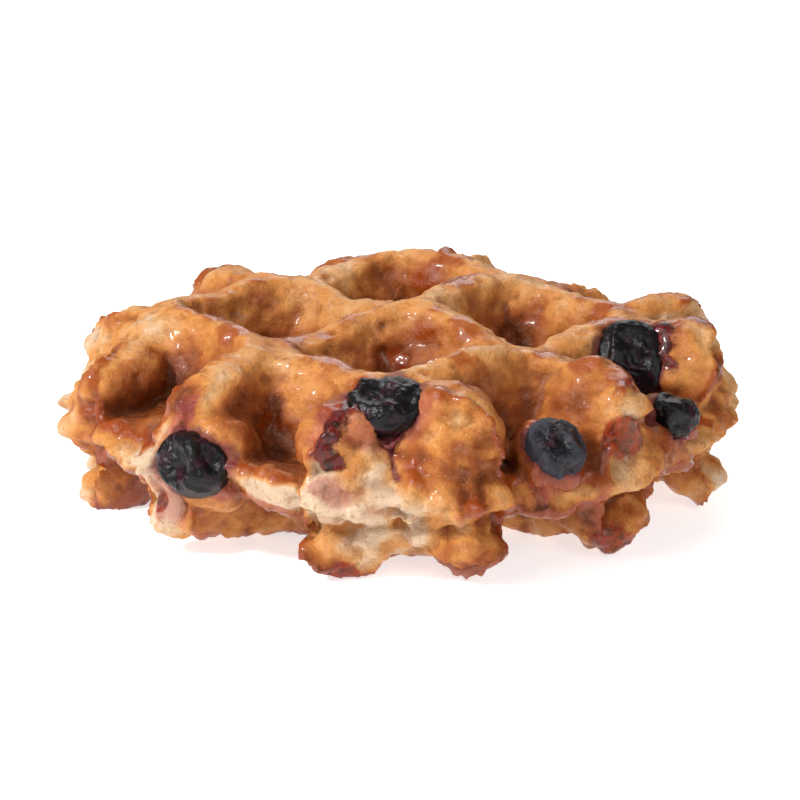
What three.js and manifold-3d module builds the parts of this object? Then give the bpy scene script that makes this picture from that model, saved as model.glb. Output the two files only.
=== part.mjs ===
// A Liege waffle with berries baked into it.
// Millimetres, +Z up. The origin is on the table, under the middle of the waffle.
// The ribs of the grid run along X and Y, with a crossing in the middle.

import * as THREE from "three";
import { LoftGeometry } from "three/addons/geometries/LoftGeometry.js";
import { ImprovedNoise } from "three/addons/math/ImprovedNoise.js";
import { mergeVertices } from "three/addons/utils/BufferGeometryUtils.js";
import Module from "manifold-3d";

// Driving dimensions of the dough
const PITCH = 24; // from rib to rib
const CELLS = 4; // pockets across the grid; the outline cuts the outer ones open
const RADIUS = 42.6; // the outline between two rib ends
const HALF_HEIGHT = 12.6; // from the seam to the top of the ribs
const WEB = 4.4; // the dough between a pocket and the one on the other side
const ARCH = 2.4; // how much higher the middle stands than the rim
const FOOT_CUT = 0.9; // taken off the lowest lumps, where the waffle rests

// Half a pocket, from the middle of a rib to the middle of the floor:
// the distance from the rib's middle, and the share of the pocket's depth there
const POCKET_DEPTH = HALF_HEIGHT - WEB / 2;
const POCKET_PROFILE = [
  { from: 0, depth: 0 },
  { from: 2, depth: 0.07 },
  { from: 3.4, depth: 0.37 },
  { from: 5.3, depth: 0.94 },
  { from: PITCH / 2, depth: 1 },
];

// The edge: a cushion profile, with rib ends that swell out past the outline
const CUSHION_HEIGHT = 1.1 * HALF_HEIGHT;
const EDGE_SQUARENESS = 4.2;
const EDGE_RINGS = 13;
const OUTLINE_POINTS = 78;
const LOBE_SWELL = [1.4, 3.4];
const LOBE_SPREAD = 6;
const SQUARE = 1.2; // how far the outline reaches out towards the grid's corners
const OVAL = 0.7; // how far the outline is out of round
const OVAL_WAVES = [
  { times: 2, phase: -0.9, share: 1 },
  { times: 3, phase: 0.4, share: 0.6 },
];
const CRAG_DEPTH = 1.8;
const CRAG_SIZE = 6.5;

// Knuckles of dough on the rib ends, above and below the seam
const KNUCKLE_RADIUS = [4.5, 5.8];
const KNUCKLE_LENGTH = 1.6; // along its rib, in its radii
const KNUCKLE_SINK = [1.5, 1.8]; // how far its middle lies inside the outline, in its radii
const FOOT_SINK = [1.3, 1.5]; // the same for a knuckle below the seam
const KNUCKLE_HEIGHT = [0.42, 0.56]; // its middle from the seam, in half heights

// The two knobs above the seam at the front corner, where the rib ends are largest and all but touch
const KNOB_BEARING = -Math.PI / 4;
const KNOB_REACH = 0.3; // how far round from that bearing a rib end may lie, in radians
const KNOB_RADIUS = [6, 7];
const KNOB_LENGTH = 1.35;
const KNOB_SINK = [1.2, 1.3];
const KNOB_STRETCH = [0.9, 1];

// Crumbs of dough torn along the seam
const CRUMBS = 8;
const CRUMB_RADIUS = [1.3, 2.3];
const CRUMB_SINK = 0.7;
const LUMP_STRETCH = [1, 1.3]; // how much higher than wide a lump is
const LUMP_DETAIL = 1;

// How far the soft dough moves when it leaves the iron
const SWAY = 0.95;
const SWAY_LENGTH = 5.4; // millimetres for each radian of a wave
const SWAY_WAVES = [
  { moves: "x", along: [0, 1, 0.6], phase: 1, share: 1 },
  { moves: "x", along: [1.7, -0.9, 0], phase: 2.3, share: 0.6 },
  { moves: "y", along: [0.9, 0, -0.5], phase: 4, share: 1 },
  { moves: "y", along: [1.1, 1.6, 0], phase: 0, share: 0.6 },
  { moves: "z", along: [0.8, 0.7, 0], phase: 0.5, share: 1 },
  { moves: "z", along: [-1.2, 1.5, 0], phase: 3, share: 0.7 },
];

// Berries: where each one sits, its width both ways and its height, and which way it points out of the dough
const BERRIES = [
  { name: "berry_front_left", at: [4.2, -42.6, 13.8], size: [10.6, 8.4, 9.2], out: [0.1, -1, 0.12] },
  { name: "berry_front_middle", at: [24.2, -26.6, 23], size: [10.6, 10.2, 6.4], out: [0.25, -0.3, 1] },
  { name: "berry_front_right", at: [40.4, -11.4, 17.2], size: [8.2, 7.4, 7.2], out: [0.9, -0.3, 0.7] },
  { name: "berry_right_pocket", at: [28.4, 16.6, 21], size: [10.8, 10.2, 9], out: [0.8, -0.35, 0.6] },
  { name: "berry_right_edge", at: [41.4, 10.8, 17.2], size: [6.4, 6.2, 6], out: [0.8, 0.1, 0.7] },
  { name: "berry_back_edge", at: [-3.2, 43.2, 14.6], size: [9.8, 8.2, 8.6], out: [-0.15, 1, 0.15] },
  { name: "berry_back_pocket", at: [-8.4, 14, 18], size: [9.4, 8.8, 7.8], out: [-0.5, 0.1, 0.9] },
  { name: "berry_left_edge", at: [-42.6, 2.6, 12.4], size: [8.2, 9.6, 8], out: [-1, 0.1, -0.1] },
];
const BERRY_DETAIL = 2;
const BERRY_WRINKLE = 0.1;
const BERRY_WRINKLE_SIZE = 0.48; // in berry radii
const BERRY_DENT = 0.3;
const CROWN_START = 0.6; // how far up the berry its dented crown begins
const SEAT_WIDTH = 1.3; // the mound of dough round a berry, in berry widths
const SEAT_SINK = 0.42; // how far the mound's middle lies behind the berry's
const PIT_GAP = 0.3;

const DOUGH = new THREE.MeshStandardMaterial({ color: 0xc98d55, roughness: 0.7, metalness: 0 });
const BERRY_SKIN = new THREE.MeshStandardMaterial({ color: 0x1c1a22, roughness: 0.35, metalness: 0 });

const wasm = await Module();
wasm.setup();
const noise = new ImprovedNoise();
const UP = new THREE.Vector3(0, 0, 1);

// Repeatable random numbers between two limits
function randomFrom(seed) {
  let state = seed;
  return ([low, high]) => {
    state = (state * 16807) % 2147483647;
    return THREE.MathUtils.lerp(low, high, state / 2147483647);
  };
}

// The same shape with its shared vertices merged, so that it is closed
function closedMesh(geometry) {
  const bare = new THREE.BufferGeometry().copy(geometry);
  bare.deleteAttribute("normal");
  bare.deleteAttribute("uv");
  return mergeVertices(bare);
}

function toSolid(geometry) {
  const merged = closedMesh(geometry);
  return new wasm.Manifold(
    new wasm.Mesh({
      numProp: 3,
      vertProperties: new Float32Array(merged.attributes.position.array),
      triVerts: new Uint32Array(merged.index.array),
    }),
  );
}

// The main body of a solid, without the scraps that a cut leaves loose
function mainBody(solid) {
  const bodies = solid.decompose();
  return bodies.reduce((largest, body) => (body.volume() > largest.volume() ? body : largest));
}

function toGeometry(solid) {
  const made = solid.getMesh();
  const geometry = new THREE.BufferGeometry();
  geometry.setAttribute("position", new THREE.BufferAttribute(made.vertProperties, 3));
  geometry.setIndex(new THREE.BufferAttribute(made.triVerts, 1));
  geometry.computeVertexNormals();
  return geometry;
}

function moveVertices(geometry, move) {
  const places = geometry.attributes.position;
  const point = new THREE.Vector3();
  for (let i = 0; i < places.count; i++) {
    move(point.fromBufferAttribute(places, i));
    places.setXYZ(i, point.x, point.y, point.z);
  }
  return geometry;
}

// Moves a line of an even grid to its place in the pocket profile
function gridLine(even) {
  const rib = Math.round(even / PITCH) * PITCH;
  const offset = even - rib;
  const step = Math.round((Math.abs(offset) / PITCH) * 2 * (POCKET_PROFILE.length - 1));
  const { from, depth } = POCKET_PROFILE[step];
  return { place: rib + Math.sign(offset) * from, depth };
}

// A square sheet of dough with the pockets that both halves of the iron press into it
function pressedSheet() {
  const side = CELLS * PITCH;
  const lines = 2 * CELLS * (POCKET_PROFILE.length - 1);
  const sheet = closedMesh(new THREE.BoxGeometry(side, side, 2 * HALF_HEIGHT, lines, lines, 1));
  moveVertices(sheet, (point) => {
    const across = gridLine(point.x);
    const along = gridLine(point.y);
    const height = HALF_HEIGHT - POCKET_DEPTH * across.depth * along.depth;
    point.set(across.place, along.place, Math.sign(point.z) * height);
  });
  return toSolid(sheet);
}

// The directions in which the twelve rib ends reach the outline, and how each rib is turned
function ribEnds() {
  const random = randomFrom(71);
  const ends = [];
  for (const line of [-PITCH, 0, PITCH]) {
    const reach = Math.sqrt(RADIUS ** 2 - line ** 2);
    for (const side of [-reach, reach]) {
      ends.push({ angle: Math.atan2(side, line), turn: Math.PI / 2, swell: random(LOBE_SWELL) });
      ends.push({ angle: Math.atan2(line, side), turn: 0, swell: random(LOBE_SWELL) });
    }
  }
  return ends;
}

const RIB_ENDS = ribEnds();

function outlineRadius(angle) {
  let radius = RADIUS - SQUARE * Math.cos(4 * angle);
  for (const wave of OVAL_WAVES) {
    radius += OVAL * wave.share * Math.cos(wave.times * angle + wave.phase);
  }
  for (const end of RIB_ENDS) {
    const turn = Math.atan2(Math.sin(angle - end.angle), Math.cos(angle - end.angle));
    radius += end.swell * Math.exp(-(((turn * RADIUS) / LOBE_SPREAD) ** 2));
  }
  return radius;
}

// The round lump of dough that was laid in the iron, whose edge nothing pressed
function doughCushion() {
  const rings = [];
  for (let i = 1; i <= EDGE_RINGS; i++) {
    const slope = (i / (EDGE_RINGS + 1) - 0.5) * Math.PI;
    const share = Math.cos(slope) ** (2 / EDGE_SQUARENESS);
    const ring = [];
    for (let j = 0; j < OUTLINE_POINTS; j++) {
      const angle = (j / OUTLINE_POINTS) * 2 * Math.PI;
      const radius = outlineRadius(angle) * share;
      const height = CUSHION_HEIGHT * Math.sin(slope);
      const point = new THREE.Vector3(radius * Math.cos(angle), radius * Math.sin(angle), height);
      const crag = noise.noise(point.x / CRAG_SIZE, point.y / CRAG_SIZE, point.z / CRAG_SIZE);
      point.x *= 1 + (CRAG_DEPTH * crag) / RADIUS;
      point.y *= 1 + (CRAG_DEPTH * crag) / RADIUS;
      ring.push(point);
    }
    rings.push(ring);
  }
  return toSolid(new LoftGeometry(rings, { capStart: true, capEnd: true }));
}

// A lump of dough at a bearing, distance and height
function placeLump(lump, angle, reach, height) {
  return toSolid(lump.translate(reach * Math.cos(angle), reach * Math.sin(angle), height));
}

function ribKnuckles() {
  const random = randomFrom(419);
  const knuckles = [];
  for (const end of RIB_ENDS) {
    for (const side of [1, -1]) {
      const knob = side > 0 && Math.abs(end.angle - KNOB_BEARING) < KNOB_REACH;
      const upperSink = knob ? KNOB_SINK : KNUCKLE_SINK;
      const size = random(knob ? KNOB_RADIUS : KNUCKLE_RADIUS);
      const reach = outlineRadius(end.angle) - random(side > 0 ? upperSink : FOOT_SINK) * size;
      const height = side * HALF_HEIGHT * random(KNUCKLE_HEIGHT);
      const stretch = random(knob ? KNOB_STRETCH : LUMP_STRETCH);
      const knuckle = new THREE.IcosahedronGeometry(size, LUMP_DETAIL);
      knuckle.scale(knob ? KNOB_LENGTH : KNUCKLE_LENGTH, 1, stretch).rotateZ(end.turn);
      knuckles.push(placeLump(knuckle, end.angle, reach, height));
    }
  }
  return knuckles;
}

function seamCrumbs() {
  const random = randomFrom(2027);
  const crumbs = [];
  for (let i = 0; i < CRUMBS; i++) {
    const angle = ((i + random([0, 1])) / CRUMBS) * 2 * Math.PI;
    const size = random(CRUMB_RADIUS);
    const reach = outlineRadius(angle) - CRUMB_SINK * size;
    const height = random([-WEB / 2, WEB / 2]);
    const crumb = new THREE.IcosahedronGeometry(size, LUMP_DETAIL);
    crumbs.push(placeLump(crumb.scale(1, 1, random(LUMP_STRETCH)), angle, reach, height));
  }
  return crumbs;
}

// The soft dough sways out of square and its rim droops, and it then stands on the table
function settle(point) {
  const start = point.clone();
  for (const wave of SWAY_WAVES) {
    const run = start.dot(new THREE.Vector3(...wave.along)) / SWAY_LENGTH;
    point[wave.moves] += SWAY * wave.share * Math.sin(run + wave.phase);
  }
  const rim = Math.min(1, (start.x ** 2 + start.y ** 2) / RADIUS ** 2);
  point.z += HALF_HEIGHT - FOOT_CUT + ARCH * (1 - rim);
}

// A berry at the origin, with its dented crown up
function berryGeometry([width, breadth, height], grow) {
  const ball = closedMesh(new THREE.IcosahedronGeometry(1, BERRY_DETAIL));
  moveVertices(ball, (point) => {
    const crown = Math.max(0, (point.z - CROWN_START) / (1 - CROWN_START));
    const [x, y, z] = point.toArray().map((length) => length / BERRY_WRINKLE_SIZE);
    const wrinkle = noise.noise(x + width, y, z + height);
    point.multiplyScalar(1 + BERRY_WRINKLE * wrinkle - BERRY_DENT * crown ** 2);
  });
  return ball.scale(width / 2 + grow, breadth / 2 + grow, height / 2 + grow);
}

function placeBerry(geometry, berry) {
  const out = new THREE.Vector3(...berry.out).normalize();
  const turn = new THREE.Quaternion().setFromUnitVectors(UP, out);
  return geometry.applyQuaternion(turn).translate(...berry.at);
}

// The mound of dough that a berry is baked into
function berrySeat(berry) {
  const width = berry.size[0];
  const mound = new THREE.IcosahedronGeometry((width / 2) * SEAT_WIDTH, LUMP_DETAIL);
  return toSolid(placeBerry(mound.translate(0, 0, -width * SEAT_SINK), berry));
}

function berryPit(berry) {
  return toSolid(placeBerry(berryGeometry(berry.size, PIT_GAP), berry));
}

// Everything above the table
function aboveTable() {
  const side = 4 * RADIUS;
  return toSolid(new THREE.BoxGeometry(side, side, side).translate(0, 0, side / 2));
}

function waffleGeometry() {
  const pressed = pressedSheet().intersect(doughCushion());
  const lumpy = wasm.Manifold.union([pressed, ...ribKnuckles(), ...seamCrumbs()]);
  const settled = toSolid(moveVertices(toGeometry(lumpy), settle));
  const seated = wasm.Manifold.union([settled, ...BERRIES.map(berrySeat)]);
  const pitted = seated.subtract(wasm.Manifold.union(BERRIES.map(berryPit)));
  return toGeometry(mainBody(pitted.intersect(aboveTable())));
}

function namedMesh(name, geometry, material) {
  const mesh = new THREE.Mesh(geometry, material);
  mesh.name = name;
  return mesh;
}

const waffle = new THREE.Group();
waffle.add(namedMesh("waffle", waffleGeometry(), DOUGH));
for (const berry of BERRIES) {
  waffle.add(namedMesh(berry.name, placeBerry(berryGeometry(berry.size, 0), berry), BERRY_SKIN));
}

export default waffle;
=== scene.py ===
# %% [markdown]
# # A Liege waffle, dressed
# A Liege waffle is a lump of buttery yeast dough with sugar pearls in it, pressed in a deep iron. The
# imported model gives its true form: the grid, the knuckled edge and the berries. This lesson copies that
# form, gives it the fine relief of baked dough, and paints it with what the iron, the sugar and the fruit
# leave behind.

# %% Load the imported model
import math

import bmesh
import bpy
import numpy as np
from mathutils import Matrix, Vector, noise
from mathutils.bvhtree import BVHTree


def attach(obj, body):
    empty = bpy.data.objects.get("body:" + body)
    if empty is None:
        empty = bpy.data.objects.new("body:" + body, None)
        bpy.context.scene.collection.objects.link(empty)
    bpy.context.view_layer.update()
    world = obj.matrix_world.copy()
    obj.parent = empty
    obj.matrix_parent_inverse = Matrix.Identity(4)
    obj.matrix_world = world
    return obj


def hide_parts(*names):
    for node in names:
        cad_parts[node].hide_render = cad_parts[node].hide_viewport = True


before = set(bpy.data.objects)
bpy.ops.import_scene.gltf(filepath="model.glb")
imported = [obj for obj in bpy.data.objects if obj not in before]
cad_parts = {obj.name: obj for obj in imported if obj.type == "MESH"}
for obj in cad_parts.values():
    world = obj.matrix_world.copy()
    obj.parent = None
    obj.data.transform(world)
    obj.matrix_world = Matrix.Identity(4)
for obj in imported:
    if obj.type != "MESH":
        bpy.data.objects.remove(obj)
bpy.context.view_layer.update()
MM = 0.001  # the frame is in metres, and the dough is measured in millimetres
BERRY_NODES = sorted(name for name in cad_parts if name.startswith("berry"))
print("nodes:", len(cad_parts), "of them berries:", len(BERRY_NODES))

# %% [markdown]
# ## A copy of the dough that can be sculpted
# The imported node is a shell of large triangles, which is no use for crumbs. Subdividing it would keep
# their uneven sizes, so a Voxel Remesh gives a skin of small even quads instead. It also fuses whatever
# overlaps, and a few rounds of the Smooth modifier then take away the last trace of the flat triangles and
# fill the creases as soft dough would.

# %% Copy and remesh the dough
VOXEL = 0.58 * MM
SAME_POINT = 0.001 * MM
SOFTEN_SHARE, SOFTEN_ROUNDS = 0.5, 5


def merged_copy(node, name):
    shell = bmesh.new()
    shell.from_mesh(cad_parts[node].data)
    bmesh.ops.remove_doubles(shell, verts=shell.verts, dist=SAME_POINT)
    mesh = bpy.data.meshes.new(name)
    shell.to_mesh(mesh)
    shell.free()
    for layer in ("custom_normal", "sharp_face", "sharp_edge"):
        if layer in mesh.attributes:
            mesh.attributes.remove(mesh.attributes[layer])
    piece = bpy.data.objects.new(name, mesh)
    bpy.context.collection.objects.link(piece)
    return piece


def apply_modifiers(piece):
    graph = bpy.context.evaluated_depsgraph_get()
    made = bpy.data.meshes.new_from_object(piece.evaluated_get(graph))
    made.name = piece.name
    piece.modifiers.clear()
    piece.data = made
    piece.data.shade_smooth()


waffle = merged_copy("waffle", "waffle_dough")
remesh = waffle.modifiers.new("fuse", "REMESH")
remesh.mode = "VOXEL"
remesh.voxel_size = VOXEL
soften = waffle.modifiers.new("soften", "SMOOTH")
soften.factor = SOFTEN_SHARE
soften.iterations = SOFTEN_ROUNDS
apply_modifiers(waffle)
print("dough:", len(waffle.data.vertices), "points")

# %% [markdown]
# ## Back into the iron
# The iron browns what it touches, and the torn edge stays pale. To tell them apart, each point is carried
# back to where it lay in the iron, before the soft dough swayed and drooped. The sway is a sum of slow
# waves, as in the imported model. It is known from the iron's side only, so it is undone by guessing and
# correcting.

# %% Carry the points back into the iron
RADIUS = 42.6  # of the pressed dough
HALF_HEIGHT = 12.6  # from the middle of the dough to the top of a rib
ARCH = 2.4  # how far the middle stands above the rim
FOOT_CUT = 0.9  # what the table presses flat
SWAY, SWAY_LENGTH = 0.95, 5.4
SWAY_WAVES = (  # the axis that sways, the direction of the wave, its phase and its share
    (0, (0, 1, 0.6), 1, 1),
    (0, (1.7, -0.9, 0), 2.3, 0.6),
    (1, (0.9, 0, -0.5), 4, 1),
    (1, (1.1, 1.6, 0), 0, 0.6),
    (2, (0.8, 0.7, 0), 0.5, 1),
    (2, (-1.2, 1.5, 0), 3, 0.7),
)
UNDO_ROUNDS = 6


def vertex_array(mesh, what):
    values = np.empty(3 * len(mesh.vertices))
    mesh.vertices.foreach_get(what, values)
    return values.reshape(-1, 3)


def sway(flat):
    shift = np.zeros_like(flat)
    for axis, along, phase, share in SWAY_WAVES:
        shift[:, axis] += SWAY * share * np.sin(flat @ np.array(along) / SWAY_LENGTH + phase)
    outwards = np.minimum(1, (flat[:, 0] ** 2 + flat[:, 1] ** 2) / RADIUS**2)
    shift[:, 2] += HALF_HEIGHT - FOOT_CUT + ARCH * (1 - outwards)
    return shift


def back_in_iron(swayed):
    flat = swayed - (0, 0, HALF_HEIGHT)
    for _ in range(UNDO_ROUNDS):
        flat = swayed - sway(flat)
    return flat


places = vertex_array(waffle.data, "co") / MM
normals = vertex_array(waffle.data, "normal")
x, y, z = back_in_iron(places).T
from_middle = np.hypot(x, y)
print("in the iron the dough reached", round(float(from_middle.max()), 1), "mm from its middle")

# %% [markdown]
# ## Where the iron touched
# In the iron the pressed sheet is known: its height follows the pocket profile in X times the same profile
# in Y. A point near that height was touched, except in the four corners of the grid, where the ends of two
# ribs swelled together. The gap is measured square to the sheet, because a pocket's walls are steep.

# %% Find the pressed dough
PITCH = 24.0  # from rib to rib
POCKET_DEPTH = 10.4
POCKET_FROM = (0.0, 2.0, 3.4, 5.3, 12.0)  # from the middle of a rib
POCKET_SHARE = (0.0, 0.07, 0.37, 0.94, 1.0)  # of the depth
SLOPE_STEP = 0.4
TOUCHED_BAND = (0.7, 1.4)  # gap to the sheet at which the touch starts to fade, and has gone
CORNER_BAND = (0.5, 2.5)  # past the crossing of two outer ribs
RIB_TOP_BAND = (0.05, 0.3)  # of the depth


def smooth_step(low, high, value):
    share = np.clip((value - low) / (high - low), 0, 1)
    return share * share * (3 - 2 * share)


def pocket_share(line):
    from_rib = np.abs((line + PITCH / 2) % PITCH - PITCH / 2)
    return np.interp(from_rib, POCKET_FROM, POCKET_SHARE)


def sheet_height(x, y):
    return HALF_HEIGHT - POCKET_DEPTH * pocket_share(x) * pocket_share(y)


slope_x = (sheet_height(x + SLOPE_STEP, y) - sheet_height(x - SLOPE_STEP, y)) / (2 * SLOPE_STEP)
slope_y = (sheet_height(x, y + SLOPE_STEP) - sheet_height(x, y - SLOPE_STEP)) / (2 * SLOPE_STEP)
off_sheet = (sheet_height(x, y) - np.abs(z)) / np.sqrt(1 + slope_x**2 + slope_y**2)
in_corner = smooth_step(*CORNER_BAND, np.minimum(np.abs(x), np.abs(y)) - PITCH)
touched = (1 - smooth_step(*TOUCHED_BAND, off_sheet)) * (1 - in_corner)
free = 1 - touched
depth_share = pocket_share(x) * pocket_share(y)
rib_top = touched * (1 - smooth_step(*RIB_TOP_BAND, depth_share))
print("touched by the iron:", round(float(touched.mean()), 2), "rib tops:", round(float(rib_top.mean()), 2))

# %% [markdown]
# ## Where the berries are
# Dough that bakes round a berry hugs it, and takes on its juice. Both fade with the distance from the
# berry, so that distance is needed for every point. A BVH tree finds the nearest spot on a surface
# quickly.


# %% Measure from the dough to the berries
def surface_tree(nodes):
    corners, faces = [], []
    for node in nodes:
        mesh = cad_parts[node].data
        faces += [[len(corners) + corner for corner in face.vertices] for face in mesh.polygons]
        corners += [corner.co / MM for corner in mesh.vertices]
    return BVHTree.FromPolygons(corners, faces)


def nearest_on(tree, points):
    found = [tree.find_nearest(point) for point in points.tolist()]
    spots = np.array([spot for spot, normal, face, gap in found])
    return spots, np.array([gap for spot, normal, face, gap in found])


berry_spots, berry_gap = nearest_on(surface_tree(BERRY_NODES), places)
print("points within 2 mm of a berry:", int((berry_gap < 2).sum()))

# %% [markdown]
# ## Noise to sculpt with
# Sculpting by hand takes a brush and an afternoon, and noise does it by rule. Fractal noise gives soft
# lumps, hard turbulence gives puffs with sharp creases between them, and Voronoi cells give burst bubbles.
# Each layer reads the noise at a shift of its own, so that no two line up, and the noise vectors are
# seeded, so that the same waffle comes out every time.

# %% Noise fields
NOISE_SEED = 4
FRACTAL_STEP, FRACTAL_SCALE = 1.0, 2.0  # how octaves follow each other
PIT_FLOOR = 0.3  # share of a pit's width that is level
noise.seed_set(NOISE_SEED)


def noise_field(points, size, octaves, shift):
    spots = (points / size + shift).tolist()
    return np.array([noise.fractal(spot, FRACTAL_STEP, FRACTAL_SCALE, octaves) for spot in spots])


def puff_field(points, size, octaves, shift):
    spots = (points / size + shift).tolist()
    puffs = np.array([noise.turbulence(spot, octaves, True) for spot in spots])
    return puffs - np.median(puffs)


def vector_field(points, size, shift):
    spots = (points / size + shift).tolist()
    return np.array([noise.noise_vector(spot) for spot in spots])


def pit_field(points, spacing, width, shift):
    spots = (points / spacing + shift).tolist()
    reach = np.array([noise.voronoi(spot)[0][0] for spot in spots])
    return 1 - smooth_step(PIT_FLOOR * width, width, reach)


WOBBLES, WOBBLE_DEPTH = (9.0, 5.9), 0.5  # size and shift
wobble = WOBBLE_DEPTH * vector_field(places, *WOBBLES)
print("wobble of up to", round(float(np.abs(wobble).max()), 2), "mm")

# %% [markdown]
# ## The relief of baked dough
# Torn dough puffs up in lumps and lies in folds. Pressed dough is calmer, but it is crumbly and pitted
# where bubbles burst against the iron, and a ragged lip stands where the iron let the dough out. Each
# layer is a height along the normal, and torn and pressed dough take different shares of it.

# %% Puff, fold and pit
LUMPS, LUMP_DEPTH = (6.0, 2, 3.1), 0.55  # size, octaves and shift
PUFFS, PUFF_DEPTH, PUFF_STIR = (7.0, 3, 11.7), 1.4, 3
FOLDS, FOLD_DEPTH, FOLD_FLATNESS = (5.0, 2, 61.3), 0.55, 2.2
CRUMBS, CRUMB_DEPTH = (1.7, 2, 23.3), 0.2
TEARS = (3.5, 2, 13.9)
PITS, PIT_DEPTH = (3.4, 0.28, 2.2), 0.22  # spacing, width and shift
RIM_BAND = (32, 43)  # from the middle
LIP_AT, LIP_WIDTH, LIP_HEIGHT, LIP_BASE = 0.9, 0.6, 0.9, 0.7


def shared(on_torn, on_pressed):
    return on_torn * free + on_pressed * touched


def band(values, at, width):
    return np.exp(-(((values - at) / width) ** 2))


rim = smooth_step(*RIM_BAND, from_middle)
tears = noise_field(places, *TEARS)
pits = pit_field(places + wobble, *PITS)
lip = rim * (1 - in_corner) * band(off_sheet, LIP_AT, LIP_WIDTH)
relief = LUMP_DEPTH * noise_field(places, *LUMPS)
relief += PUFF_DEPTH * shared(1, 0.15) * puff_field(places + PUFF_STIR * wobble, *PUFFS)
relief += FOLD_DEPTH * shared(1, 0) * noise_field(places * (1, 1, FOLD_FLATNESS), *FOLDS)
relief += CRUMB_DEPTH * shared(0.6, 1) * noise_field(places, *CRUMBS)
relief -= PIT_DEPTH * shared(0.35, 1) * pits
relief += LIP_HEIGHT * lip * (LIP_BASE + tears)
print("relief from", round(float(relief.min()), 2), "to", round(float(relief.max()), 2), "mm")

# %% [markdown]
# ## The seam, the crease and the berries' nests
# Half-way up the edge the two plates of the iron meet, and the dough that was squeezed out between them
# stands as a ragged ledge with a groove under it. At the front corner a crease parts two knobs. Round each
# berry the dough is drawn in until it hugs the fruit. Last of all the table flattens the feet.

# %% Shape the edge and move the points
SEAM_WIDTH, SEAM_REACH = 1.5, 2.0
SEAM_BASE, SEAM_TEARS, SEAM_SWELL = 0.6, 0.4, 0.6  # shares of the reach
SWELLS = (8.0, 1, 83.7)
GROOVE_AT, GROOVE_WIDTH, GROOVE_DEPTH = -4.2, 1.9, 1.4
UPRIGHT_BAND = (0.8, 0.4)  # height of the normal
BERRY_CLEAR_BAND = (0.3, 2.5)  # gap to a berry over which the ledge grows
CREASE = ((26.2, -28.2, 21.6), (27.6, -29.8, 19.4), (29.1, -30.6, 17.0), (30.4, -31.6, 15.0))
CREASE_WIDTH, CREASE_DEPTH = 2.4, 1.7
HUG_BAND, HUG_DEPTH, SMALLEST_GAP = (0.3, 1.6), 0.7, 0.1


def near_path(points, path, width):
    gaps = []
    for start, end in zip(np.array(path), np.array(path[1:])):
        along = np.clip((points - start) @ (end - start) / np.sum((end - start) ** 2), 0, 1)
        gaps.append(np.linalg.norm(points - start - along[:, None] * (end - start), axis=1))
    return np.clip(1 - np.min(gaps, axis=0) / width, -1, 1)


def move_points(mesh, points):
    mesh.vertices.foreach_set("co", (points * MM).ravel())
    mesh.update()


relief -= CREASE_DEPTH * np.clip(near_path(places, CREASE, CREASE_WIDTH), 0, 1)
ragged_edge = SEAM_BASE + SEAM_TEARS * tears + SEAM_SWELL * noise_field(places, *SWELLS)
reach = SEAM_REACH * ragged_edge * band(z, 0, SEAM_WIDTH)
reach -= GROOVE_DEPTH * band(z, GROOVE_AT, GROOVE_WIDTH)
upright = smooth_step(*UPRIGHT_BAND, np.abs(normals[:, 2]))
reach *= rim * free * upright * smooth_step(*BERRY_CLEAR_BAND, berry_gap)
outward = np.stack((x, y, 0 * z), 1) / np.maximum(from_middle, 1)[:, None]
hug = HUG_DEPTH * (1 - smooth_step(*HUG_BAND, berry_gap)) / np.maximum(berry_gap, SMALLEST_GAP)
sculpted = places + wobble + relief[:, None] * normals
sculpted += reach[:, None] * outward + hug[:, None] * (berry_spots - places)
sculpted[:, 2] = np.maximum(sculpted[:, 2], 0)
move_points(waffle.data, sculpted)
print("the edge moved from", round(float(reach.min()), 2), "to", round(float(reach.max()), 2), "mm outwards")

# %% [markdown]
# ## Crisper edges
# Baked dough has crisp rims and tight creases, and the remesh left both too soft. Where a point lies
# against the mean of its neighbours tells a crest from a hollow. Crests are raised a little and hollows
# deepened, which does for a surface what sharpening does for a picture.

# %% Sharpen the relief
SHARPEN, SHARPEN_ROUNDS, SHARPEN_LIMIT = 0.5, 14, 0.7


def spread(values, pairs, rounds):
    count = np.bincount(pairs.ravel(), minlength=len(values))
    for _ in range(rounds):
        columns = [
            np.bincount(pairs[:, 0], column[pairs[:, 1]], len(values))
            + np.bincount(pairs[:, 1], column[pairs[:, 0]], len(values))
            for column in values.T
        ]
        values = np.stack(columns, 1) / count[:, None]
    return values


def hollowness(mesh, rounds):
    pairs = np.empty(2 * len(mesh.edges), np.int32)
    mesh.edges.foreach_get("vertices", pairs)
    points = vertex_array(mesh, "co") / MM
    shift = spread(points, pairs.reshape(-1, 2), rounds) - points
    return np.sum(shift * vertex_array(mesh, "normal"), axis=1)


crisp = np.clip(-SHARPEN * hollowness(waffle.data, SHARPEN_ROUNDS), -SHARPEN_LIMIT, SHARPEN_LIMIT)
sculpted += crisp[:, None] * vertex_array(waffle.data, "normal")
sculpted[:, 2] = np.maximum(sculpted[:, 2], 0)
move_points(waffle.data, sculpted)
print("sharpened by up to", round(float(np.abs(crisp).max()), 2), "mm")
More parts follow.
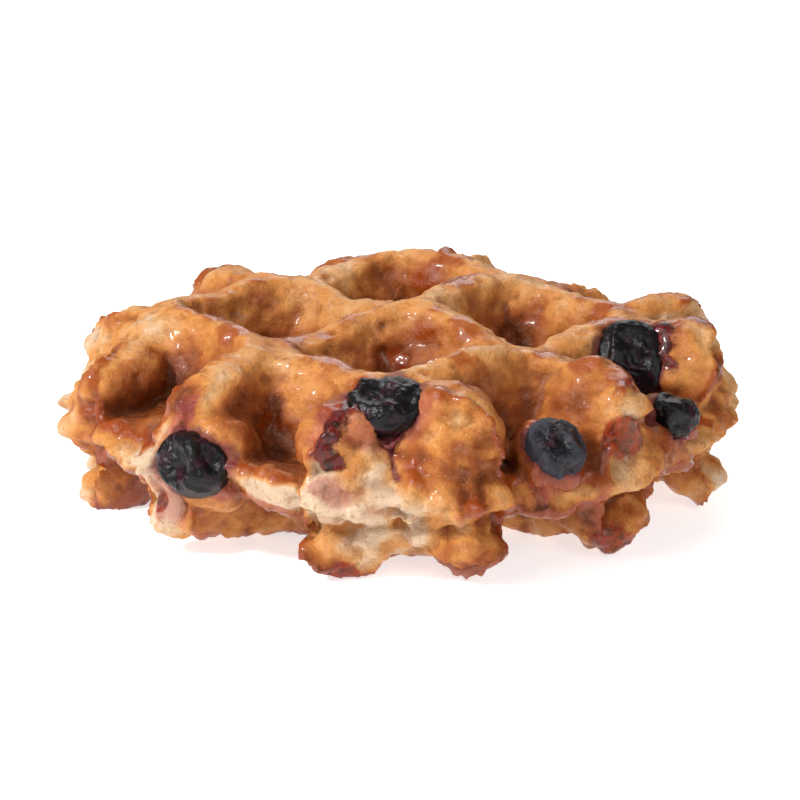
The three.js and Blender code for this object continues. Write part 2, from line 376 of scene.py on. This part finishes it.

# %% [markdown]
# ## What the oven left
# The finish needs to know more than height: how toasted a spot is, where sugar ran and caramelised, and
# where the crust all but burnt. Each is a recipe of a few fields: where the dough lay in the iron, how
# hollow it is, and some noise. The toast mask also holds painted shade, darker in hollows and deep in the
# pockets, where the crust is browner as well, and a painted highlight that makes pressed crests paler. Marks
# placed one by one add the patches that stand out on this waffle.

# %% Mix the fields of the crust
LOBES, BROAD = (15.0, 1, 71.0), (10.0, 2, 31.0)  # size, octaves and shift
MIDDLE, SMUTS = (4.5, 3, 47.0), (5.5, 3, 91.0)
EDGE_AT, EDGE_WIDTH = 1.0, 0.6  # gap to the sheet
FOOT_BAND = (0.5, 2.6)  # height above the table
POCKET_BAND = (0.1, 0.75)  # of the depth
SMALL_ROUNDS, SMALL_HOLLOW_BAND = 8, (0.04, 0.3)
WIDE_ROUNDS, HOLLOW_BAND, CREST_BAND = 70, (0.2, 1.6), (0.3, 1.5)
TOASTED_BAND = (0, 0.6)
TOASTED = (  # x, y, z, reach and amount
    (35.4, -24.3, 19.0, 11.0, 0.32),
    (24.5, -35.5, 17.5, 6.0, 0.34),
    (36.4, -25.4, 4.0, 7.0, 0.34),
    (23.0, -36.0, 3.4, 6.0, 0.32),
    (0.5, -42.0, 22.0, 5.0, 0.3),
)
SCORCHES = (  # x, y, z and reach
    (44.1, -1.8, 17.5, 4.2),
    (23.4, -33.6, 0.5, 3.2),
    (42.5, -3.1, 1.5, 5.0),
    (-1.0, -45.0, 7.4, 1.8),
)
SCORCH, SCORCH_FRAY = 2.2, 0.4


def near_spot(points, mark):
    return np.clip(1 - np.linalg.norm(points - mark[:3], axis=1) / mark[3], -1, 1)


def recipe(base=0.0, **shares):
    return base + sum(share * fields[name] for name, share in shares.items())


wide_hollow = hollowness(waffle.data, WIDE_ROUNDS)
middle = noise_field(places, *MIDDLE)
broad = noise_field(places, *BROAD)
fields = {
    "lobes": noise_field(places, *LOBES),
    "broad": broad,
    "middle": middle,
    "smuts": noise_field(places, *SMUTS),
    "edge": rim * (1 - in_corner) * band(off_sheet, EDGE_AT, EDGE_WIDTH),
    "foot": 1 - smooth_step(*FOOT_BAND, places[:, 2]),
    "pocket": touched * smooth_step(*POCKET_BAND, depth_share),
    "rib": rib_top,
    "hollow": smooth_step(*HOLLOW_BAND, wide_hollow),
    "crest": smooth_step(*CREST_BAND, -wide_hollow),
    "pressed_crest": smooth_step(*CREST_BAND, -wide_hollow) * touched,
}
# torn dough is darker in hollows, which is painted shade
torn_toast_and_shading = recipe(0.26, lobes=0.65, middle=0.4, hollow=0.4)
for mark in TOASTED:
    torn_toast_and_shading += mark[4] * smooth_step(*TOASTED_BAND, near_spot(places, mark))
# pressed dough is darker deep in the pockets, partly browning and partly painted shade, darker in hollows as
# painted shade, and paler on crests as a painted highlight
pressed_toast_and_shading = recipe(0.44, pocket=0.28, hollow=0.24, crest=-0.12, broad=0.28, middle=0.16)
toast_and_shading = shared(torn_toast_and_shading, pressed_toast_and_shading) + recipe(edge=0.25, foot=0.15)
caramel = recipe(pressed_crest=0.42, edge=0.6, foot=0.25, broad=0.8, middle=0.5)
char = recipe(foot=0.48, edge=0.26, rib=0.1, smuts=0.62)
for mark in SCORCHES:
    char = np.maximum(char, SCORCH * near_spot(places, mark) + SCORCH_FRAY * middle)
# painted shade: creases, and the burst pits of pressed dough, are darkened with CREASE_SHADE
creases = smooth_step(*SMALL_HOLLOW_BAND, hollowness(waffle.data, SMALL_ROUNDS))
crease_shade = np.maximum(0.35 * pits * touched, shared(0.55, 0.85) * creases)
print("mean toast", round(float(toast_and_shading.mean()), 2), "of torn dough", round(float(torn_toast_and_shading.mean()), 2))

# %% [markdown]
# ## What the fruit left
# Juice stains the dough close to a berry, and blushes the torn dough a little farther off. The stain mask
# also darkens the crease between the front knobs, which is painted shade. Where a berry burst, its juice ran
# down and boiled to a dark red syrup: one run crosses the left knob at the front, and one leaves the berry
# in the right pocket. All masks are then kept as attributes of the mesh. An image would need the dough
# unwrapped first, and the material adds the fine grain itself.

# %% Juice, and the masks kept
JUICE_RUNS = (
    (
        (22.4, -30.5, 23.2),
        (22.4, -33.0, 22.4),
        (22.8, -35.9, 20.9),
        (23.0, -37.2, 18.1),
        (23.5, -36.7, 16.4),
    ),
    ((30.6, 19.4, 26.4), (33.0, 18.2, 23.6), (35.0, 17.0, 21.0)),
)
JUICE_WIDTH, JUICE_FRAY = 2.1, 0.9
JUICE_SPOTS = (  # x, y, z and reach
    (23.6, -36.6, 13.6, 2.4),
    (25.2, -36.4, 12.2, 2.0),
    (-0.6, -45.4, 6.4, 2.6),
    (7.6, -41.5, 10.8, 2.2),
)
SPOT_STRENGTH = 1.8
STAIN_BAND, STAIN_FRAY = (0.1, 2.0), 1.2  # gap to a berry
CREASE_LINE_SHADE, CREASE_LINE_SHADE_FRAY = 1.1, 0.3
BLUSH_BAND, BLUSH_FRAY = (0.5, 4.5), 4  # gap to a berry
RUN_BLUSH_WIDTH = 2.2 * JUICE_WIDTH


def keep_mask(mesh, name, values):
    layer = mesh.attributes.new(name, "FLOAT", "POINT")
    layer.data.foreach_set("value", values.astype(np.float32))


juice = np.max([near_path(places, run, JUICE_WIDTH) for run in JUICE_RUNS], axis=0) + JUICE_FRAY * middle
stain = 1 - smooth_step(*STAIN_BAND, berry_gap + STAIN_FRAY * middle)
# the front crease is darkened with the stain colour, which is painted shade
crease_line_shade = CREASE_LINE_SHADE * near_path(places, CREASE, CREASE_WIDTH / 2) + CREASE_LINE_SHADE_FRAY * middle
blush = (1 - smooth_step(*BLUSH_BAND, berry_gap + BLUSH_FRAY * broad)) * shared(1, 0.1)
blush = np.maximum(blush, near_path(places, JUICE_RUNS[0], RUN_BLUSH_WIDTH) + broad)
for mark in JUICE_SPOTS:
    blush = np.maximum(blush, SPOT_STRENGTH * near_spot(places, mark) + middle)
masks = {
    "touched": touched,
    "toast_and_shading": toast_and_shading,
    "caramel": caramel,
    "char": char,
    # the stain mask also holds the painted shade along the front crease
    "stain": np.maximum(stain, crease_line_shade),
    "blush": blush,
    "juice": juice,
    "crease": crease_shade,
}
for name, values in masks.items():
    keep_mask(waffle.data, name, values)
    print(name, "spreads", [round(float(v), 2) for v in np.percentile(values, (2, 25, 50, 75, 98))])

# %% [markdown]
# ## Nodes by function
# A crust has many finishes, and a shader for it is hard to read when each node is made and linked by hand.
# These helpers take a number or another node's output for an input, and hand back the output that comes
# next. Colours are written as they look on a screen, and turned into the linear light of a shader.


# %% Small helpers for shader nodes
def srgb(red, green, blue):
    def linear(level):
        level /= 255
        return level / 12.92 if level <= 0.04045 else ((level + 0.055) / 1.055) ** 2.4

    return (linear(red), linear(green), linear(blue), 1)


def add_node(tree, kind, inputs, **settings):
    made = tree.nodes.new(kind)
    for name, value in settings.items():
        setattr(made, name, value)
    for socket, value in inputs.items():
        if isinstance(value, bpy.types.NodeSocket):
            tree.links.new(value, made.inputs[socket])
        else:
            made.inputs[socket].default_value = value
    return made


def maths(tree, how, first, second=0.0):
    return add_node(tree, "ShaderNodeMath", {0: first, 1: second}, operation=how).outputs[0]


def mix_numbers(tree, share, first, second):
    return add_node(tree, "ShaderNodeMix", {0: share, 2: first, 3: second}).outputs[0]


def mix_colours(tree, share, first, second):
    made = add_node(tree, "ShaderNodeMix", {0: share, 6: first, 7: second}, data_type="RGBA")
    return made.outputs[2]


def lay_over(tree, under, where, strength, over):
    return mix_colours(tree, maths(tree, "MULTIPLY", where, strength), under, over)


def cut(tree, value, low, high, to_low=0.0, to_high=1.0):
    inputs = {"Value": value, "From Min": low, "From Max": high, "To Min": to_low, "To Max": to_high}
    return add_node(tree, "ShaderNodeMapRange", inputs, interpolation_type="SMOOTHSTEP").outputs[0]


def grain(tree, place, size, detail=3.0, rough=0.55):
    inputs = {"Vector": place, "Scale": 1 / (size * MM), "Detail": detail, "Roughness": rough}
    return add_node(tree, "ShaderNodeTexNoise", inputs).outputs["Fac"]


def mask(tree, name):
    return add_node(tree, "ShaderNodeAttribute", {}, attribute_name=name).outputs["Fac"]


def ragged(tree, value, fine, amount):
    return maths(tree, "ADD", value, maths(tree, "MULTIPLY", maths(tree, "SUBTRACT", fine, 0.5), amount))


def new_finish(name):
    material = bpy.data.materials.new(name)
    material.use_nodes = True
    tree = material.node_tree
    skin = tree.nodes["Principled BSDF"]
    place = add_node(tree, "ShaderNodeTexCoord", {}).outputs["Object"]
    return material, tree, skin, place


print("a mid grey of the screen is", round(srgb(128, 128, 128)[0], 3), "in linear light")

# %% [markdown]
# ## The colour of the crust
# The crust starts from a ramp of toasted dough, pale to dark brown, whose mask also holds painted shade in
# hollows and pockets and a painted highlight on crests. The marks are laid over it one after the other:
# blush, painted shade in creases and pits and between flakes, sugar and bran, caramel, burnt sugar, stains
# with painted shade along the front crease, and syrup. Fine grain is added to each mask before it is cut, so
# that the borders are as ragged as on a real crust.

# %% Colour the crust
TOAST_COLOURS = (
    (0.0, srgb(208, 180, 150)),
    (0.2, srgb(204, 153, 100)),
    (0.42, srgb(198, 131, 66)),
    (0.65, srgb(156, 84, 37)),
    (0.85, srgb(106, 49, 19)),
    (1.0, srgb(70, 31, 11)),
)
CARAMEL = srgb(144, 60, 10)
BURNT_SUGAR, SCORCHED = srgb(76, 20, 8), srgb(140, 44, 18)
JUICE_STAIN, JUICE_BLUSH = srgb(94, 28, 46), srgb(156, 66, 74)
RED_JUICE, DARK_JUICE = srgb(102, 6, 2), srgb(46, 4, 5)
# CREASE_SHADE is painted shade, for creases, pits and the gaps between flakes
CREASE_SHADE = srgb(122, 60, 26)
SUGAR_SPECK, BRAN_FLECK = srgb(228, 202, 164), srgb(150, 86, 44)
CRUST_GRAINS = {  # size, detail and roughness of the noise
    "mottle": (3.2, 3.0, 0.55),
    "fine": (1.0, 4.0, 0.6),
    "crumb": (0.45, 4.0, 0.65),
    "speck": (0.3, 2.0, 0.5),
    "fleck": (0.9, 2.0, 0.5),
    "syrup": (1.4, 3.0, 0.55),
    "glaze": (2.2, 3.0, 0.55),
}
CRUST_MARKS = {  # the grain that frays the mask, by how much, and where the mark starts and is full
    "blush": ("mottle", 0.6, 0.2, 0.9),
    "caramel": ("mottle", 0.5, 0.36, 0.7),
    "char": ("fine", 0.7, 0.35, 0.8),
    "stain": ("fine", 0.5, 0.25, 0.9),
    "juice": ("fine", 0.8, 0.25, 0.6),
}
TOAST_MOTTLE, TOAST_FINE = 0.25, 0.22
FLAKE_SIZE, FLAKE_WARP = 1.25, 1.6
FLAKE_BAND, FLAKY_BAND = (0.0, 0.3), (0.4, 0.6)


def toast_colours(tree, value):
    made = add_node(tree, "ShaderNodeValToRGB", {"Fac": value})
    stops = made.color_ramp.elements
    while len(stops) < len(TOAST_COLOURS):
        stops.new(0.5)
    for stop, (place, colour) in zip(stops, TOAST_COLOURS):
        stop.position = place
        stop.color = colour
    return made.outputs["Color"]


def warped(tree, place, size, amount):
    inputs = {"Vector": place, "Scale": 1 / (size * MM), "Detail": 2.0}
    swirl = add_node(tree, "ShaderNodeTexNoise", inputs).outputs["Color"]
    centred = add_node(tree, "ShaderNodeVectorMath", {0: swirl, 1: (0.5, 0.5, 0.5)}, operation="SUBTRACT")
    inputs = {0: centred.outputs[0], 1: (amount * MM,) * 3, 2: place}
    return add_node(tree, "ShaderNodeVectorMath", inputs, operation="MULTIPLY_ADD").outputs[0]


def flake_cells(tree, place):
    curled = warped(tree, place, FLAKE_SIZE, FLAKE_WARP * FLAKE_SIZE)
    inputs = {"Vector": curled, "Scale": 1 / (FLAKE_SIZE * MM)}
    made = add_node(tree, "ShaderNodeTexVoronoi", inputs, feature="DISTANCE_TO_EDGE")
    return cut(tree, made.outputs["Distance"], *FLAKE_BAND)


def crust_layers(tree, place):
    layers = {name: grain(tree, place, *numbers) for name, numbers in CRUST_GRAINS.items()}
    for name, (fray, amount, start, full) in CRUST_MARKS.items():
        layers[name] = cut(tree, ragged(tree, mask(tree, name), layers[fray], amount), start, full)
    layers["touched"] = mask(tree, "touched")
    layers["flakes"] = flake_cells(tree, place)
    layers["flaky"] = maths(tree, "MULTIPLY", cut(tree, layers["mottle"], *FLAKY_BAND), layers["touched"])
    return layers


def crust_colour(tree, layers):
    # the toast mask holds painted shade in hollows and pockets and a painted highlight on crests
    shaded_toast = ragged(tree, mask(tree, "toast_and_shading"), layers["mottle"], TOAST_MOTTLE)
    shaded_toast = ragged(tree, shaded_toast, layers["fine"], TOAST_FINE)
    # the gaps between flakes are darkened below, which is painted shade
    gaps = maths(tree, "MULTIPLY", maths(tree, "SUBTRACT", 1.0, layers["flakes"]), layers["flaky"])
    burnt = mix_colours(tree, cut(tree, layers["fine"], 0.36, 0.62), BURNT_SUGAR, SCORCHED)
    syrup = mix_colours(tree, cut(tree, layers["syrup"], 0.38, 0.62), RED_JUICE, DARK_JUICE)
    colour = toast_colours(tree, shaded_toast)
    for where, strength, over in (
        (layers["blush"], 0.5, JUICE_BLUSH),
        # painted shade in creases and pits, then between flakes
        (mask(tree, "crease"), 0.7, CREASE_SHADE),
        (gaps, 0.16, CREASE_SHADE),
        (cut(tree, layers["speck"], 0.66, 0.74), 0.3, SUGAR_SPECK),
        (cut(tree, layers["fleck"], 0.56, 0.66), 0.36, BRAN_FLECK),
        (layers["caramel"], 0.74, CARAMEL),
        (layers["char"], 0.88, burnt),
        # stains, with painted shade along the front crease
        (layers["stain"], 0.8, JUICE_STAIN),
        (layers["juice"], 0.97, syrup),
    ):
        colour = lay_over(tree, colour, where, strength, over)
    return colour


print("toast colours:", len(TOAST_COLOURS), "grains:", len(CRUST_GRAINS), "marks:", len(CRUST_MARKS))

# %% [markdown]
# ## The shine of the crust
# Torn crumb is dull, and pressed dough has a satin skin. Caramel and syrup lie over the crust like
# varnish, so they are a clear coat, which stays smooth while the crust under it is bumpy. A little light
# also travels through the dough, which keeps its shadows warm.

# %% Gloss, bumps and the finished crust
CRUMB_ROUGHNESS, PRESSED_ROUGHNESS, GLOSS_ROUGHNESS = (0.6, 0.78), 0.44, 0.25
CRUMB_ROUGHNESS_BAND = (0.3, 0.7)
GLAZE_BAND, GLAZE_SHARE = (0.5, 0.62), 0.55
COAT_SHARE, COAT_ROUGHNESS = 0.46, 0.1
BUMP_HEIGHT, DULL_BUMP, SMOOTH_BUMP = 0.8 * MM, 0.9, 0.45
CRUST_SPECULAR = 0.18
GLOW_SHARE, GLOW_COLOURS, GLOW_DEPTH = 0.18, (1.0, 0.36, 0.12), 2.2 * MM


def crust_bumps(tree, layers, smooth):
    height = maths(tree, "MULTIPLY", layers["fine"], 0.6)
    flaked = maths(tree, "MULTIPLY", layers["flakes"], layers["flaky"])
    for layer, share in ((layers["crumb"], 0.4), (flaked, 0.1), (layers["juice"], 0.5)):
        height = maths(tree, "ADD", height, maths(tree, "MULTIPLY", layer, share))
    strength = cut(tree, smooth, 0, 1, DULL_BUMP, SMOOTH_BUMP)
    inputs = {"Strength": strength, "Distance": BUMP_HEIGHT, "Height": height}
    return add_node(tree, "ShaderNodeBump", inputs).outputs["Normal"]


def crust_finish():
    material, tree, skin, place = new_finish("baked_crust")
    layers = crust_layers(tree, place)
    glaze = cut(tree, layers["glaze"], *GLAZE_BAND, 0, GLAZE_SHARE)
    glazed = maths(tree, "MAXIMUM", maths(tree, "MAXIMUM", layers["caramel"], glaze), layers["juice"])
    gloss = maths(tree, "MAXIMUM", glazed, layers["char"])
    crumbly = cut(tree, layers["fine"], *CRUMB_ROUGHNESS_BAND, *CRUMB_ROUGHNESS)
    dull = mix_numbers(tree, layers["touched"], crumbly, PRESSED_ROUGHNESS)
    smooth = maths(tree, "MAXIMUM", gloss, layers["touched"])
    tree.links.new(crust_colour(tree, layers), skin.inputs["Base Color"])
    tree.links.new(mix_numbers(tree, gloss, dull, GLOSS_ROUGHNESS), skin.inputs["Roughness"])
    tree.links.new(crust_bumps(tree, layers, smooth), skin.inputs["Normal"])
    tree.links.new(maths(tree, "MULTIPLY", glazed, COAT_SHARE), skin.inputs["Coat Weight"])
    skin.inputs["Coat Roughness"].default_value = COAT_ROUGHNESS
    skin.inputs["Specular IOR Level"].default_value = CRUST_SPECULAR
    skin.inputs["Subsurface Weight"].default_value = GLOW_SHARE
    skin.inputs["Subsurface Radius"].default_value = GLOW_COLOURS
    skin.inputs["Subsurface Scale"].default_value = GLOW_DEPTH
    return material


waffle.data.materials.clear()
waffle.data.materials.append(crust_finish())
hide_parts("waffle")
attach(waffle, "root")
print("crust on", waffle.name, "with", len(waffle.data.materials[0].node_tree.nodes), "nodes")

# %% [markdown]
# ## Baked berries
# A berry that bakes in dough shrinks and wrinkles like a raisin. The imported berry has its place, size and
# dented crown, so a copy of it is subdivided, swollen by the hair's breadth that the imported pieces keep
# apart, dented where it is bare, and wrinkled with ridged noise. A cloth simulation could wrinkle it too,
# but would be slow.

# %% Model the berries
BERRY_LEVELS = 3
BERRY_SWELL = 0.25
BARE_BAND = (0.4, 1.8)  # gap to the dough
DENT_SIZE, DENT_WIDTH, DENT_DEPTH = 5.2, 0.72, 1.3
WRINKLE_SIZE, WRINKLE_OCTAVES, WRINKLE_DEPTH = 1.8, 2, 0.38
DUSTY = ("berry_front_right", "berry_left_edge", "berry_back_pocket")
DUST_ON_DUSTY, DUST_ON_BLACK = 0.75, 0.2
DOUGH_TREE = surface_tree(["waffle"])


def model_berry(node, seed):
    berry = merged_copy(node, node + "_skin")
    rounder = berry.modifiers.new("round", "SUBSURF")
    rounder.levels = rounder.render_levels = BERRY_LEVELS
    apply_modifiers(berry)
    spots = vertex_array(berry.data, "co") / MM
    bare = smooth_step(*BARE_BAND, nearest_on(DOUGH_TREE, spots)[1])
    dents = pit_field(spots, DENT_SIZE, DENT_WIDTH, 7.3 * seed + 1.9) * bare
    dents -= dents.mean() / 2
    wrinkles = puff_field(spots, WRINKLE_SIZE, WRINKLE_OCTAVES, 3.7 * seed + 5.1)
    swell = BERRY_SWELL - DENT_DEPTH * dents - WRINKLE_DEPTH * wrinkles
    move_points(berry.data, spots + vertex_array(berry.data, "normal") * swell[:, None])
    dust = DUST_ON_DUSTY if node in DUSTY else DUST_ON_BLACK
    keep_mask(berry.data, "bloom", dust - 0.35 * dents - 0.3 * wrinkles)
    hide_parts(node)
    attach(berry, "root")
    return berry


berries = [model_berry(node, seed) for seed, node in enumerate(BERRY_NODES)]
print("berries:", len(berries), "with", len(berries[0].data.vertices), "points each")

# %% [markdown]
# ## The berries' skin
# A baked berry is all but black, with wine red where the skin is thin. Its bloom, a fine wax, is left as
# grey dust on the high spots and rubbed off the rest, which shines. So one mask sets both the grey and the
# gloss.

# %% Finish the berries
BERRY_BLACK, BERRY_JUICE, BERRY_BLOOM = srgb(15, 13, 15), srgb(52, 16, 28), srgb(64, 65, 74)
PATCH_SIZE, DUST_SIZE, FLUSH_SIZE = 3.0, 0.4, 1.8
BLOOM_BAND, BLOOM_STRENGTH = (0.4, 0.9), 0.75
SKIN_ROUGHNESS = (0.18, 0.66)  # bare and dusty
BERRY_BUMP, BERRY_BUMP_HEIGHT = 0.4, 0.25 * MM
BERRY_SPECULAR = 0.22


def berry_finish():
    material, tree, skin, place = new_finish("berry_skin")
    dust = grain(tree, place, DUST_SIZE, 4.0, 0.7)
    bloom = ragged(tree, mask(tree, "bloom"), grain(tree, place, PATCH_SIZE), 1.0)
    bloom = cut(tree, ragged(tree, bloom, dust, 0.9), *BLOOM_BAND)
    flush = cut(tree, grain(tree, place, FLUSH_SIZE), 0.5, 0.75)
    colour = mix_colours(tree, flush, BERRY_BLACK, BERRY_JUICE)
    colour = lay_over(tree, colour, bloom, BLOOM_STRENGTH, BERRY_BLOOM)
    tree.links.new(colour, skin.inputs["Base Color"])
    tree.links.new(cut(tree, bloom, 0, 0.8, *SKIN_ROUGHNESS), skin.inputs["Roughness"])
    inputs = {"Strength": BERRY_BUMP, "Distance": BERRY_BUMP_HEIGHT, "Height": dust}
    tree.links.new(add_node(tree, "ShaderNodeBump", inputs).outputs["Normal"], skin.inputs["Normal"])
    skin.inputs["Specular IOR Level"].default_value = BERRY_SPECULAR
    return material


BERRY_SKIN = berry_finish()
for berry in berries:
    berry.data.materials.clear()
    berry.data.materials.append(BERRY_SKIN)
print("skin on", len(berries), "berries")

# %% [markdown]
# ## The table and the light
# The waffle lies on a plain white table that glows a little, in a white room, so that its shadow stays
# faint. A broad key light does most of the work. A small strong one close to it puts the sparkle on
# caramel, which a broad light would only wash out. Two more lights fill in the right side and the back.

# %% Floor and light
VIEW_CENTRE = Vector((0, 0, 0.0125))
FLOOR_SIZE = 3.0
TABLE_WHITE, TABLE_ROUGHNESS, TABLE_GLOW = (0.8, 0.8, 0.815, 1), 0.7, 0.66
LIGHTS = (  # name, place, size and power
    ("key", (-0.15, -0.55, 0.65), 0.8, 3.6),
    ("sparkle", (-0.2, -0.6, 0.5), 0.1, 5.2),
    ("fill", (0.7, -0.1, 0.4), 0.5, 2.0),
    ("back", (-0.5, 0.6, 0.6), 0.6, 2.6),
)
WHITE, ROOM_LIGHT = (1, 1, 1, 1), 0.2


def pointing(thing, target):
    thing.rotation_euler = (target - thing.location).to_track_quat("-Z", "Y").to_euler()


def plain_floor():
    table = bmesh.new()
    bmesh.ops.create_grid(table, x_segments=1, y_segments=1, size=FLOOR_SIZE / 2)
    mesh = bpy.data.meshes.new("table_top")
    table.to_mesh(mesh)
    table.free()
    piece = bpy.data.objects.new("table_top", mesh)
    bpy.context.collection.objects.link(piece)
    material, tree, skin, place = new_finish("white_table")
    skin.inputs["Base Color"].default_value = TABLE_WHITE
    skin.inputs["Roughness"].default_value = TABLE_ROUGHNESS
    skin.inputs["Emission Color"].default_value = WHITE
    skin.inputs["Emission Strength"].default_value = TABLE_GLOW
    mesh.materials.append(material)


def soft_light(name, place, size, power):
    lamp = bpy.data.lights.new(name, "AREA")
    lamp.shape = "DISK"
    lamp.size = size
    lamp.energy = power
    piece = bpy.data.objects.new(name, lamp)
    piece.location = place
    bpy.context.collection.objects.link(piece)
    pointing(piece, VIEW_CENTRE)


plain_floor()
for name, place, size, power in LIGHTS:
    soft_light(name, place, size, power)
room = bpy.data.worlds.new("white_room")
room.use_nodes = True
room.node_tree.nodes["Background"].inputs["Color"].default_value = WHITE
room.node_tree.nodes["Background"].inputs["Strength"].default_value = ROOM_LIGHT
bpy.context.scene.world = room
bpy.context.scene.view_settings.view_transform = "Standard"
print("lights:", ", ".join(name for name, place, size, power in LIGHTS))

# %% [markdown]
# ## The camera
# The camera looks along the grid's diagonal from a little above, with a long lens from far off, so that
# the ribs hardly draw together towards the back. The lens follows from how wide the picture is at that
# distance.

# %% Place the camera
VIEW_AZIMUTH, VIEW_ELEVATION = math.radians(45), math.radians(17)
VIEW_DISTANCE, VIEW_WIDTH = 0.55, 0.112
SENSOR_WIDTH = 36

lens = bpy.data.cameras.new("camera")
lens.sensor_width = SENSOR_WIDTH
lens.lens = SENSOR_WIDTH * VIEW_DISTANCE / VIEW_WIDTH
camera = bpy.data.objects.new("camera", lens)
toward_camera = Vector((
    math.sin(VIEW_AZIMUTH) * math.cos(VIEW_ELEVATION),
    -math.cos(VIEW_AZIMUTH) * math.cos(VIEW_ELEVATION),
    math.sin(VIEW_ELEVATION),
))
camera.location = VIEW_CENTRE + VIEW_DISTANCE * toward_camera
bpy.context.collection.objects.link(camera)
pointing(camera, VIEW_CENTRE)
bpy.context.scene.camera = camera
print("camera with a lens of", round(lens.lens), "mm")

# %% [markdown]
# ## The last update
# The view layer is updated, so that the moved points and the new pieces are in place.

# %% Update the view layer
bpy.context.view_layer.update()
